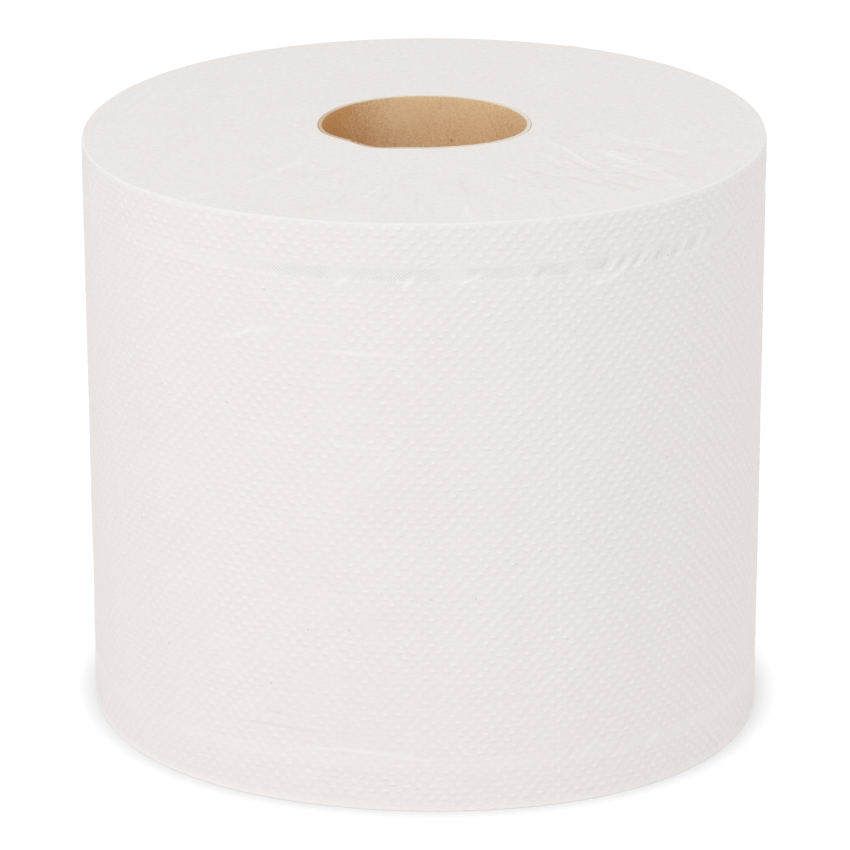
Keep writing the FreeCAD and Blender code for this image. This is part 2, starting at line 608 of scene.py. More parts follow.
    def crimp(self, along: np.ndarray, up: np.ndarray) -> np.ndarray:
        """How firmly the two bands are crimped at each place: 0 outside them, with smooth slopes.

        Args:
            along: The distance along the web.
            up: The height above its lower edge.

        Returns:
            The crimp at each place, from 0 to 1.
        """
        upper_first = self.form.sheet_width - self.crimp_margin - self.crimp_width
        band = np.zeros(up.shape)
        for table, first in ((self.lower_crimp, self.crimp_margin), (self.upper_crimp, upper_first)):
            share, last = self._by_heading(table, along), first + self.crimp_width
            rise = smooth_step(up, first, first + self.crimp_slope)
            band += share * rise * smooth_step(up, last, last - self.crimp_slope)
        return band

    def folds(self) -> list[Fold]:
        """The face's loose creases, and the puckers that slant across its crimped bands."""
        return folds_on(CREASES + PUCKERS, self.spot)

    def folded(self, along: np.ndarray, up: np.ndarray) -> np.ndarray:
        """How high the creases and puckers stand at each place, negative in their furrows."""
        return sum(fold.at(along, up) for fold in self.folds())

    def relief(self, along: np.ndarray, up: np.ndarray) -> np.ndarray:
        """The face's height against the solid's outline: the sheet's inset, its unevenness, its dots, the
        crimped bands and the folds, all faded to a plain edge at the two rims.

        Args:
            along: The distance along the web.
            up: The height above its lower edge.

        Returns:
            The relief, negative where the face lies inside the outline.
        """
        band = self.crimp(along, up)
        dots = self.dot_height * self.dots(*self.chart(along, up)) * (1 - band) * self.firmness(along, up)
        uneven = sum(waves.at(along, up) for waves in self.uneven)
        raised = dots + uneven + self.folded(along, up) - self.crimp_press * band
        inner = smooth_step(np.minimum(up, self.form.sheet_width - up), *self.plain_rim)
        return np.minimum(inner * raised - self.web_inset, -SURFACE_GAP)

    def slits(self, from_line: np.ndarray, up: np.ndarray) -> np.ndarray:
        """How strongly a perforation's slits show beside their line, 0 to 1, with short bonds between."""
        bond = smooth_step(np.cos(FULL_TURN * up / self.slit_pitch), *self.slit_ends)
        return (1 - bond) * np.exp(-((from_line / self.slit_width) ** 2))


class TowelEnd(Enum):
    """What bounds a towel: a perforation, the web's loose end, or the place that the loose end covers."""

    PERFORATION = "perforation"
    LOOSE = "loose"
    COVERED = "covered"


@dataclass(frozen=True)
class Towel:
    """One towel of the last turn, from rim to rim.

    Attributes:
        name: The piece's name.
        face: The web's face.
        first: Where it starts along the web.
        last: Where it ends.
        first_end: What bounds it at its start.
        last_end: What bounds it at its end.
        rim_points: How many steps a rounded rim has.
        covered_length: How far the web runs on under its loose end.
        tooth_pitch: From one tooth of the torn edge to the next.
        tooth_size: How far the teeth stand out.
        edge_gap: How near to an end the lattice may come, in steps.
        wander: How the torn edge and its lift vary up the edge.
        tooth_wander: How much the teeth follow that.
        lift_range: The lift's middle and how far it varies, as shares of the face's.
        foot: The heights between which the painted light along the lower edge fades; it lifts the
            contact shade at the base.
        brim: The same for the faint painted highlight below the upper edge.
        brim_share: How strong that painted highlight is against the lower edge's painted light.
    """

    name: str
    face: WebFace
    first: float
    last: float
    first_end: TowelEnd = TowelEnd.PERFORATION
    last_end: TowelEnd = TowelEnd.PERFORATION
    rim_points: int = 3
    covered_length: float = 2.5 * MM
    tooth_pitch: float = 2.6 * MM
    tooth_size: float = 0.5 * MM
    edge_gap: float = 0.4
    wander: Waves = Waves(21, 60 * MM, 14 * MM)
    tooth_wander: float = 0.3
    lift_range: tuple[float, float] = (0.6, 0.4)
    foot: tuple[float, float] = (2.8 * MM, 0.3 * MM)
    brim: tuple[float, float] = (0.9 * MM, 0.2 * MM)
    brim_share: float = 0.15

    def columns(self) -> np.ndarray:
        """The grid's places along the web: the shared lattice of steps, and the two ends.

        Returns:
            The places, from the first to the last.
        """
        step = self.face.step
        start = math.ceil(self.first / step + self.edge_gap)
        inner = np.arange(start, math.floor(self.last / step - self.edge_gap) + 1) * step
        near = self.face.slit_width
        places = [self.first, self.first + near, *inner, self.last - near, self.last]
        if self.first_end is TowelEnd.COVERED:
            places = [self.first - self.covered_length, *places[2:]]
        return np.unique(np.array(places))

    def rows(self) -> tuple[np.ndarray, np.ndarray]:
        """The grid's heights from the base up, and how far each is drawn in by the rounded rims.

        A rim's arc is soft · (1 - sin a) from the web's edge and soft · (1 - cos a) inside the face. The
        lower rim's arc has one more point, so that its shading doesn't spread up the face.

        Returns:
            The heights and the insets.
        """
        form, step = self.face.form, self.face.step
        angles = np.linspace(math.pi / 2, 0, self.rim_points + 1)
        fall, inset = 1 - np.sin(angles), 1 - np.cos(angles)
        first, last = math.ceil(form.rim_soft / step), math.floor((form.sheet_width - form.rim_soft) / step)
        middle = np.arange(first, last + 1) * step
        top = form.sheet_width - form.rim_soft * fall[-2::-1]
        heights = np.concatenate([form.base_soft * fall, middle, top])
        return heights, np.concatenate([form.base_soft * inset, 0 * middle, form.rim_soft * inset[-2::-1]])

    def slits(self, along: np.ndarray, up: np.ndarray) -> np.ndarray:
        """How strongly its own perforations show at each place, from 0 to 1.

        Args:
            along: The distance along the web.
            up: The height above its lower edge.

        Returns:
            The strength at each place.
        """
        ends = ((self.first_end, self.first), (self.last_end, self.last))
        lines = [place for end, place in ends if end is TowelEnd.PERFORATION]
        return sum(self.face.slits(along - line, up) for line in lines)

    def build(self) -> bpy.types.Object:
        """Makes the towel: the outline's radius plus the face's relief, drawn in at rims and perforations.

        Where the towel is the web's loose end, its edge is torn into small teeth, lifts a little and is
        closed by the sheet's thickness.

        Returns:
            The towel.
        """
        face, form = self.face, self.face.form
        heights, inset = self.rows()
        along, up = np.meshgrid(self.columns(), heights)
        relief = face.relief(along, up) - inset[:, None] - face.slit_depth * self.slits(along, up)
        radius = form.outer_radius(along, up) + relief
        if self.last_end is TowelEnd.LOOSE:
            wander = self.wander.at(up, np.zeros_like(up))
            middle, swing = self.lift_range
            lift = smooth_step(along, self.last - face.tail_reach, self.last)
            radius = radius + face.tail_lift * (lift * (middle + swing * np.sin(wander)))
            teeth = 1 - np.abs(np.cos(math.pi * up[:, -1:] / self.tooth_pitch))
            teeth = teeth + self.tooth_wander * wander[:, -1:]
            torn = along[:, -1:] - self.tooth_size * teeth / 2
            under = radius[:, -1:] - form.sheet_thickness - face.tail_lift
            along = np.concatenate([along[:, :-1], torn, torn], axis=1)
            radius = np.concatenate([radius, under], axis=1)
            up = np.concatenate([up, up[:, -1:]], axis=1)
        points = placed(radius, form.heading(along), up)
        marks = {
            "band": face.crimp(along, up),
            "firm": face.firmness(along, up),
            "slit": self.slits(along, up),
            # fold: painted highlight on the creases' crests and painted shade in their furrows, in the
            # finish
            "fold": np.clip(face.folded(along, up) / face.full_fold, -1, 1),
            # rim: painted light near the base, against its contact shade, and a faint painted highlight
            # under the upper edge
            "rim": smooth_step(up, *self.foot)
            + self.brim_share * smooth_step(form.sheet_width - up, *self.brim),
        }
        chart = np.stack(face.chart(along, up), axis=-1)
        return grid_object(self.name, points, chart, around=False, marks=marks)


# ---- The roll's two ends ----


# The top end's wrinkles, with paths of radii in millimetres and headings in degrees
RIDGES: FoldTable = (
    (0.8, 0.62, 42.3, -26.5, 46.7, -28, 50.8, -30, 55.5, -33.3, 61.1, -37, 66.3, -39.5, 74.3, -41.1),
    (0.75, 0.36, 50, -39.4, 58, -44.1, 63.5, -46.2),
    (0.75, 0.52, 63, -28.6, 70, -30.3, 74.6, -31.9, 78.3, -32.9, 83.3, -33.2),
    (0.7, 0.32, 80, -29.4, 86.7, -31.1), (0.7, 0.34, 84, -34.6, 92.1, -34.7),
    (0.7, 0.28, 60, -11.4, 66.4, -13.6), (0.7, 0.26, 49.5, -11.4, 57.6, -10.3),
    (0.7, 0.32, 99, -39.8, 107.6, -40), (0.7, 0.28, 38.6, -21.5, 44, -21.1),
    (1.4, 0.4, 88, -131.2, 77, -130.7, 67.3, -132.5, 57, -133.5, 48.7, -141.1),
    (1.2, 0.34, 112, -133.8, 104, -132, 95.1, -130.6),
)
FURROWS: FoldTable = (
    (0.8, -0.42, 58.3, -39.2, 66.3, -42, 71.4, -43.2, 75.3, -43, 79.3, -41.2, 84.8, -39.6),
    (0.8, -0.5, 56.4, -57.6, 61.1, -55.7, 66.4, -54.7, 72.1, -53.3),
    (0.8, -0.62, 71.2, -51.4, 77.2, -50.4, 81.7, -50.4, 85.4, -49.8),
    (0.8, -0.55, 82, -47.2, 87.5, -46.7, 92.1, -46.5, 97.5, -46.8),
    (0.7, -0.48, 63.6, -67, 68.1, -64.6, 72.3, -62.8), (0.7, -0.44, 75.4, -61.2, 80.8, -60.2),
    (0.7, -0.4, 48.2, -23.4, 54.7, -23.5), (0.7, -0.42, 53, -21, 61.9, -22.6),
    (0.7, -0.42, 58.1, -26.1, 65, -25.6), (0.7, -0.4, 63.7, -23.6, 70.1, -23.7),
    (0.7, -0.38, 75.1, -26.6, 81.1, -25.8), (0.7, -0.3, 45, -15.7, 50.8, -13.2),
    (0.7, -0.3, 52, -118, 59, -120, 66, -121),
)
# A faint wrinkle's middle and end: the share of its length, and the share of its turn
MIDDLE_AND_END = ((0.5, 0.7), (1.0, 1.0))


@dataclass(frozen=True)
class FaintWrinkles:
    """Faint short wrinkles of the top end, drawn at random over a sector.

    Lengths are in millimetres and headings in degrees, as in the tables of wrinkles.

    Attributes:
        seed: The seed of the draw.
        count: How many there are.
        headings: The sector.
        radii: How far from the axis they start.
        lengths: How long they are.
        turns: How far they turn on the way out.
        sizes: How high or deep they are.
        widths: Their half widths.
    """

    seed: int
    count: int
    headings: tuple[float, float]
    radii: tuple[float, float] = (54, 90)
    lengths: tuple[float, float] = (10, 20)
    turns: tuple[float, float] = (-3, 1)
    sizes: tuple[float, float] = (0.14, 0.32)
    widths: tuple[float, float] = (0.7, 1.0)

    def table(self) -> FoldTable:
        """The drawn wrinkles: each runs outwards, and has turned by 0.7 of its turn at half its length.

        Returns:
            A row for each wrinkle.
        """
        draw = np.random.default_rng(self.seed)
        made = []
        for _ in range(self.count):
            radius, heading = draw.uniform(*self.radii), draw.uniform(*self.headings)
            length, turn = draw.uniform(*self.lengths), draw.uniform(*self.turns)
            size = draw.uniform(*self.sizes) * draw.choice([-1, 1])
            places = ((radius + length * share, heading + turn * bend) for share, bend in MIDDLE_AND_END)
            path = (radius, heading, *itertools.chain.from_iterable(places))
            made.append((draw.uniform(*self.widths), size, *path))
        return tuple(made)


@dataclass(frozen=True)
class RollEnds:
    """The two ends of the wound web, where the turns' edges show.

    Attributes:
        form: The roll's form.
        face: The web's face, which gives the rim's outline.
        columns: The places along the last turn that the rim shares with the towels.
        ring_step: The grid's spacing from rim to hole at the top.
        base_step: The same at the base.
        lip: The rounding of the innermost turn's edge.
        lip_drop: How far under the solid's top that edge stays.
        lip_rows: How many rows round it.
        wall_start: Where the hole's wall starts under the lip, in lips.
        wall_rows: How many rows go down the hole's wall.
        calm: The shares of the way in from the rim between which the end is fully uneven.
        full_fold: The height at which a wrinkle is fully shaded.
        slow: The end's slow waves.
        rings: The unevenness that follows the turns.
        ring_drift: How far that unevenness drifts in a radian, in metres.
        faint: The faint wrinkles that are drawn at random.
    """

    form: RollForm
    face: WebFace
    columns: np.ndarray = field(repr=False)
    ring_step: float = 0.88 * MM
    base_step: float = 3.4 * MM
    lip: float = 0.35 * MM
    lip_drop: float = 0.02 * MM
    lip_rows: int = 3
    wall_start: float = 4.0
    wall_rows: int = 9
    calm: tuple[float, float] = (0.03, 0.93)
    full_fold: float = 0.6 * MM
    slow: Waves = Waves(31, 70 * MM, 25 * MM, 0.05 * MM)
    rings: Waves = Waves(32, 9 * MM, 3.5 * MM, 0.02 * MM)
    ring_drift: float = 0.02
    faint: tuple[FaintWrinkles, ...] = (FaintWrinkles(5, 30, (-46, -10)), FaintWrinkles(6, 24, (-125, -46)))

    def rim(self, up: float, soft: float) -> np.ndarray:
        """The rim's radius at each column: the outline less the rounding and the sheet's inset."""
        outline = self.form.outer_radius(self.columns, np.full(self.columns.shape, up))
        return outline - self.face.web_inset - soft

    def shares(self, spacing: float) -> np.ndarray:
        """Even shares of the way between the rim and the hole, in a column."""
        count = round((self.form.roll_diameter / 2 - self.form.hole_radius) / spacing)
        return np.linspace(0, 1, count + 1)[:, None]

    def folds(self) -> list[Fold]:
        """The wrinkles of the top end, most of them where the turns were drawn out beside the tube."""
        return folds_on(sum((faint.table() for faint in self.faint), RIDGES + FURROWS), self._flat)

    def wrinkled(self, x: np.ndarray, y: np.ndarray) -> np.ndarray:
        """How high the top's wrinkles stand at each place, negative in their furrows."""
        return sum(fold.at(x, y) for fold in self.folds())

    def top(self) -> bpy.types.Object:
        """The upper end: from the rim in to the innermost turn's rounded lip, and down the hole's wall.

        Its height is the smooth form plus slow waves, rings that follow the turns, and the wrinkles.

        Returns:
            The upper end.
        """
        form = self.form
        rim = self.rim(form.sheet_width, form.rim_soft)[None, :]
        heading = form.heading(self.columns)[None, :]
        hole = form.mouth_radius(form.hole_radius, heading, np.full(heading.shape, form.web_top))
        share = self.shares(self.ring_step)
        radius = rim + (hole + self.lip - rim) * share
        x, y, _ = np.moveaxis(placed(radius, heading, np.zeros(radius.shape)), -1, 0)
        inner = smooth_step(share, 0, self.calm[0]) * smooth_step(share, 1, self.calm[1])
        wrinkled = self.wrinkled(x, y)
        uneven = self.slow.at(x, y) + self.rings.at(radius, self.ring_drift * np.arctan2(y, x)) + wrinkled
        lip_top = form.web_top - self.lip_drop
        up = np.minimum(form.sheet_width + form.turn_rise(radius) + inner * uneven, lip_top)
        angles = np.linspace(0, math.pi / 2, self.lip_rows + 1)[1:, None]
        lip_radius = hole + self.lip * (1 - np.sin(angles))
        lip_up = np.broadcast_to(lip_top - self.lip * (1 - np.cos(angles)), lip_radius.shape)
        wall_up = np.linspace(lip_top - self.wall_start * self.lip, form.middle_rise, self.wall_rows)
        wall_heading, wall_up = np.broadcast_arrays(heading, wall_up[:, None])
        wall_radius = form.mouth_radius(form.hole_radius, wall_heading, wall_up)
        # The wrinkles' share, which the finish turns into painted shade in furrows and a painted highlight
        # on crests
        fold = inner * np.clip(wrinkled / self.full_fold, -1, 1)
        fold = np.pad(fold, ((0, self.lip_rows + self.wall_rows), (0, 0)))
        radius = np.concatenate([radius, lip_radius, wall_radius])
        return self._object("top_turns", radius, np.concatenate([up, lip_up, wall_up]), fold)

    def base(self) -> bpy.types.Object:
        """The lower end: from the hole out to the rim that the roll stands on.

        Returns:
            The lower end.
        """
        form = self.form
        rim = self.rim(0.0, form.base_soft)[None, :]
        radius = form.hole_radius + (rim - form.hole_radius) * self.shares(self.base_step)
        return self._object("base_turns", radius, form.turn_rise(radius), np.zeros(radius.shape))

    def _object(self, name: str, radius: np.ndarray, up: np.ndarray, fold: np.ndarray) -> bpy.types.Object:
        """An end's object, charted by the distance along the turn and the distance from the axis.

        Args:
            name: The piece's name.
            radius: Each point's distance from the axis, with a row for each ring.
            up: Each point's height.
            fold: Each point's share of a full wrinkle, which sets its painted shade or highlight.

        Returns:
            The end.
        """
        along = np.repeat(self.columns[None, :], len(radius), axis=0)
        points = placed(radius, self.form.heading(along), up)
        around = np.concatenate([along, along[:, :1] + self.form.turn_length], axis=1)
        out = np.concatenate([radius, radius[:, :1]], axis=1)
        return grid_object(name, points, np.stack([around, out], axis=-1), around=True, marks={"fold": fold})

    @staticmethod
    def _flat(radius: float, heading: float) -> tuple[float, float]:
        """The x and y of a place given by its radius in millimetres and its heading in degrees."""
        angle = math.radians(heading)
        return radius * MM * math.cos(angle), radius * MM * math.sin(angle)


# ---- The kraft tube ----


@dataclass(frozen=True)
class CoreTube:
    """The spiral-wound kraft tube, with a crushed and nicked mouth.

    Attributes:
        form: The roll's form.
        low: The height of its lower edge, from the frame.
        high: The height of its upper edge, from the frame.
        columns: How many points each ring has.
        wall_rows: How many rings the inner wall has.
        outer_rows: The same for the outer wall.
        corner_rows: The same for each rounded corner.
        edge_soft: The rounding of the cut edges.
        ply_width: The width of the strip that the tube was wound from, up its height.
        ply_step: How deep the joint between two turns of that strip is.
        joint: The shares of a strip over which the joint's step rises, has faded, and starts to fade.
        nicks: Small tears in the upper edge: heading, depth in millimetres and half width in degrees.
        torn_reach: How far under the upper edge its tears still draw the wall down.
        waves: The inner wall's slow unevenness.
        rag: The upper edge's raggedness.
    """

    form: RollForm
    low: float
    high: float
    columns: int = 540
    wall_rows: int = 92
    outer_rows: int = 12
    corner_rows: int = 4
    edge_soft: float = 0.16 * MM
    ply_width: float = 118.0 * MM
    ply_step: float = 0.1 * MM
    joint: tuple[float, float, float] = (0.012, 0.3, 0.02)
    nicks: tuple[tuple[float, float, float], ...] = (
        (-138.4, 0.45, 1.5),
        (-133.2, 0.4, 1.2),
        (-46.0, 0.2, 1.4),
    )
    torn_reach: float = 4 * MM
    waves: Waves = Waves(51, 40 * MM, 12 * MM, 0.05 * MM)
    rag: Waves = Waves(52, 5 * MM, 1.2 * MM, 0.05 * MM)

    def profile(self) -> tuple[np.ndarray, np.ndarray]:
        """The wall's section, once round from the upper inner edge: quarter arcs join its straight runs.

        Returns:
            The section's depths from the inner face, and its heights.
        """
        soft, wall = self.edge_soft, self.form.core_wall
        turn = np.linspace(0, math.pi / 2, self.corner_rows)
        inner_up = np.linspace(self.high - soft, self.low + soft, self.wall_rows)[1:-1]
        outer_up = np.linspace(self.low + soft, self.high - soft, self.outer_rows)[1:-1]
        near, far = soft * (1 - np.cos(turn)), wall - soft * (1 - np.cos(turn))
        drop = soft * (1 - np.sin(turn))
        depth = [near[::-1], np.zeros(inner_up.size), near, far[::-1], np.full(outer_up.size, wall), far]
        high, low = self.high - drop, self.low + drop
        return np.concatenate(depth), np.concatenate([high[::-1], inner_up, low, low[::-1], outer_up, high])

    def ply_joint(self, heading: np.ndarray, up: np.ndarray) -> np.ndarray:
        """The step across the strip's joint, which climbs a ply_width a turn: 1 past it, fading to 0.

        Args:
            heading: The heading, in radians.
            up: The height.

        Returns:
            The step at each place, from 0 to 1.
        """
        climb = (up / self.ply_width - heading / FULL_TURN) % 1.0
        risen, faded, full = self.joint
        return smooth_step(climb, 0.0, risen) * smooth_step(climb, faded, full)

    def build(self) -> bpy.types.Object:
        """Makes the tube as a closed ring of sections, with its dents, joint, waves and nicks.

        Returns:
            The tube.
        """
        form = self.form
        depth, up = self.profile()
        heading = np.linspace(-math.pi, math.pi, self.columns, endpoint=False)
        angle, height = np.meshgrid(heading, up)
        into = np.repeat(depth[:, None], self.columns, axis=1)
        inner = smooth_step(into, form.core_wall * 0.5, 0.0)
        waves = self.waves.at(angle * form.bore_radius, height)
        relief = inner * (self.ply_step * self.ply_joint(angle, height) + waves)
        torn = np.zeros(angle.shape)
        for place, size, reach in self.nicks:
            away = ((np.degrees(angle) - place + 180) % 360 - 180) / reach
            torn = np.maximum(torn, size * MM * np.clip(1 - away**2, 0, 1))
        torn = torn + np.abs(self.rag.at(angle * form.bore_radius, np.zeros(angle.shape)))
        height = height - torn * smooth_step(height, self.high - self.torn_reach, self.high)
        radius = form.mouth_radius(form.bore_radius, angle, height) + into + relief
        around = np.concatenate([angle, angle[:, :1] + FULL_TURN], axis=1) * form.bore_radius
        path = np.concatenate([[0.0], np.cumsum(np.hypot(np.diff(depth), np.diff(up)))])
        path = np.append(path, path[-1] + form.core_wall)
        chart = np.stack(np.broadcast_arrays(np.vstack([around, around[:1]]), path[:, None]), axis=-1)
        return grid_object("kraft_tube", placed(radius, angle, height), chart, around=True, across=True)


# ---- Shader graphs ----


def operator(operation: str, turned: bool = False) -> Callable[["Value", "Number"], "Value"]:
    """An operator of shader arithmetic, which adds one Math node.

    Args:
        operation: The node's operation.
        turned: Whether the other value comes first, as in 1 - mask.

    Returns:
        The method that stands for it.
    """

    def apply(self: "Value", other: "Number") -> "Value":
        """The operation on the two values."""
        return self.graph.math(operation, *((other, self) if turned else (self, other)))

    return apply


class Value:
    """A shader socket in arithmetic: its operators add the Math nodes that they name."""

    def __init__(self, graph: "Graph", socket: bpy.types.NodeSocket) -> None:
        """Wraps a socket of a graph's node."""
        self.graph = graph
        self.socket = socket

    __add__ = __radd__ = operator("ADD")
    __mul__ = __rmul__ = operator("MULTIPLY")
    __sub__ = operator("SUBTRACT")
    __rsub__ = operator("SUBTRACT", turned=True)
    __truediv__ = operator("DIVIDE")
    __rtruediv__ = operator("DIVIDE", turned=True)
    __pow__ = operator("POWER")
    __rpow__ = operator("POWER", turned=True)


Number = Value | float
Colour = tuple[float, float, float]
Weights = tuple[tuple[str, float], ...]

WHITE: Colour = (1.0, 1.0, 1.0)
PAPER_IOR = 1.45


@dataclass(frozen=True)
class Grain:
    """A noise.

    Attributes:
        scale: How many features it has in a metre.
        detail: How many finer layers it has.
        roughness: How strong those are.
        along: How densely it lies along x: under 1, its features are long there.
    """

    scale: float
    detail: float = 2.0
    roughness: float = 0.5
    along: float = 1.0


@dataclass(frozen=True)
class Patches:
    """Patches of strength.

    Attributes:
        grain: The noise that places them.
        low: The noise at which a patch starts.
        high: The noise at which it is full.
        least: The strength between the patches.
        most: The strength in them.
    """

    grain: Grain
    low: float
    high: float
    least: float
    most: float


@dataclass(frozen=True)
class Surface:
    """How a surface's parts make its tone and its relief, and how it shines.

    Attributes:
        tone: How much each part adds to the tone.
        tone_start: The tone that this is added to.
        relief: How much each part stands out.
        depth: How deep the relief's full range is.
        tilt: How strongly the relief tilts the surface.
        gloss: The specular level.
        rough: The roughness.
        fibre_rough: What the fibres add to it.
    """

    tone: Weights
    tone_start: float
    relief: Weights
    depth: float
    tilt: float
    gloss: float
    rough: float
    fibre_rough: float


class Graph:
    """The node tree of a material or a world, grown from expressions."""

    def __init__(self, owner: bpy.types.Material | bpy.types.World) -> None:
        """Takes over its owner's tree and empties it.

        Args:
            owner: The new material or world.
        """
        owner.use_nodes = True
        self.owner = owner
        self.tree = owner.node_tree
        self.tree.nodes.clear()

    def node(
        self,
        kind: str,
        settings: dict[str, Any] | None = None,
        inputs: dict[Any, Any] | None = None,
        output: Any = 0,
    ) -> Value:
        """Adds a node of any kind.

        Args:
            kind: The node's type.
            settings: Its own settings, which are set first.
            inputs: Values or links for its sockets, by name or index.
            output: The name or index of the socket to return.

        Returns:
            The chosen output.
        """
        made = self.tree.nodes.new(kind)
        for key, value in (settings or {}).items():
            setattr(made, key, value)
        for key, value in (inputs or {}).items():
            socket = made.inputs[key]
            if isinstance(value, Value):
                self.tree.links.new(value.socket, socket)
            else:
                socket.default_value = (*value, 1.0) if socket.type == "RGBA" else value
        return Value(self, made.outputs[output])

    def close(self, shader: Value, kind: str = "ShaderNodeOutputMaterial") -> None:
        """Joins a shader to the tree's output, which is of this type."""
        self.tree.links.new(shader.socket, self.tree.nodes.new(kind).inputs["Surface"])

    def math(self, operation: str, *values: Number, clamp: bool = False) -> Value:
        """One Math node on one to three values."""
        settings = {"operation": operation, "use_clamp": clamp}
        return self.node("ShaderNodeMath", settings, dict(enumerate(values)))

    def clamped(self, value: Value) -> Value:
        """A value, kept from 0 to 1."""
        return self.math("ADD", value, 0.0, clamp=True)

    def positive(self, value: Value) -> Value:
        """A value, or 0 where it is negative."""
        return self.math("MAXIMUM", value, 0.0)

    def step(self, value: Number, low: float, high: float) -> Value:
        """A smooth step of a value from 0 at low to 1 at high."""
        settings = {"interpolation_type": "SMOOTHSTEP"}
        return self.node("ShaderNodeMapRange", settings, {"Value": value, "From Min": low, "From Max": high})

    def mix(self, share: Number, first: Value | Colour, second: Value | Colour) -> Value:
        """A colour between two, by a share from 0 to 1."""
        return self.node("ShaderNodeMix", {"data_type": "RGBA"}, {0: share, 6: first, 7: second}, 2)

    def mark(self, name: str) -> Value:
        """A value that the mesh holds at each point."""
        return self.node("ShaderNodeAttribute", {"attribute_name": name}, output="Fac")

    def split(self, vector: Value) -> tuple[Value, ...]:
        """A vector's three values."""
        outputs = self.node("ShaderNodeSeparateXYZ", inputs={0: vector}).socket.node.outputs
        return tuple(Value(self, outputs[axis]) for axis in "XYZ")

    def chart(self) -> tuple[Value, ...]:
        """The piece's own chart: its two distances, in metres."""
        return self.split(self.node("ShaderNodeUVMap", {"uv_map": "chart"}))[:2]

    def place(self) -> tuple[Value, ...]:
        """The object's coordinates x, y and z, in metres."""
        return self.split(self.node("ShaderNodeTexCoord", output="Object"))

    def vector(self, x: Number, y: Number, z: Number = 0.0) -> Value:
        """A vector from three values."""
        return self.node("ShaderNodeCombineXYZ", inputs={0: x, 1: y, 2: z})

    def noise(self, grain: Grain, x: Value, y: Value, z: Number = 0.0) -> Value:
        """Noise of a grain at a place, from 0 to 1 around 0.5.

        Args:
            grain: The grain.
            x: The place's first value.
            y: Its second.
            z: Its third.

        Returns:
            The noise.
        """
        along = x if grain.along == 1.0 else x * grain.along
        inputs = {"Scale": grain.scale, "Detail": grain.detail, "Roughness": grain.roughness}
        at = {"Vector": self.vector(along, y, z)}
        return self.node("ShaderNodeTexNoise", {"noise_dimensions": "3D"}, at | inputs, "Fac")

    def patches(self, patches: Patches, x: Value, y: Value) -> Value:
        """The strength of patches at a place."""
        full = self.step(self.noise(patches.grain, x, y), patches.low, patches.high)
        return full * (patches.most - patches.least) + patches.least

    def sum(self, parts: dict[str, Value], weights: Weights, start: float = 0.0) -> Value:
        """The sum of named parts, each times its weight.

        Args:
            parts: The values, by name.
            weights: The name of each part that counts, and its weight.
            start: What the sum starts from.

        Returns:
            The weighted sum.
        """
        total: Number = start
        for name, weight in weights:
            total = parts[name] * weight + total
        return total

    def tone(self, parts: dict[str, Value], surface: Surface) -> Value:
        """A surface's tone, from 0 to 1, made up of its parts."""
        return self.clamped(self.sum(parts, surface.tone, surface.tone_start))

    def finish(self, colour: Value, parts: dict[str, Value], surface: Surface) -> bpy.types.Material:
        """Closes a material's tree with a Principled shader.

        Args:
            colour: Its base colour.
            parts: The surface's parts, by name, with its fibres among them.
            surface: How these make its relief and its roughness.

        Returns:
            The material.
        """
        height = self.sum(parts, surface.relief)
        bump = {"Strength": surface.tilt, "Distance": surface.depth, "Height": height}
        inputs = {
            "Base Color": colour,
            "Roughness": parts["fibre"] * surface.fibre_rough + surface.rough,
            "Normal": self.node("ShaderNodeBump", inputs=bump),
            "Specular IOR Level": surface.gloss,
            "IOR": PAPER_IOR,
        }
        self.close(self.node("ShaderNodeBsdfPrincipled", inputs=inputs))
        return self.owner


# ---- Finishes ----


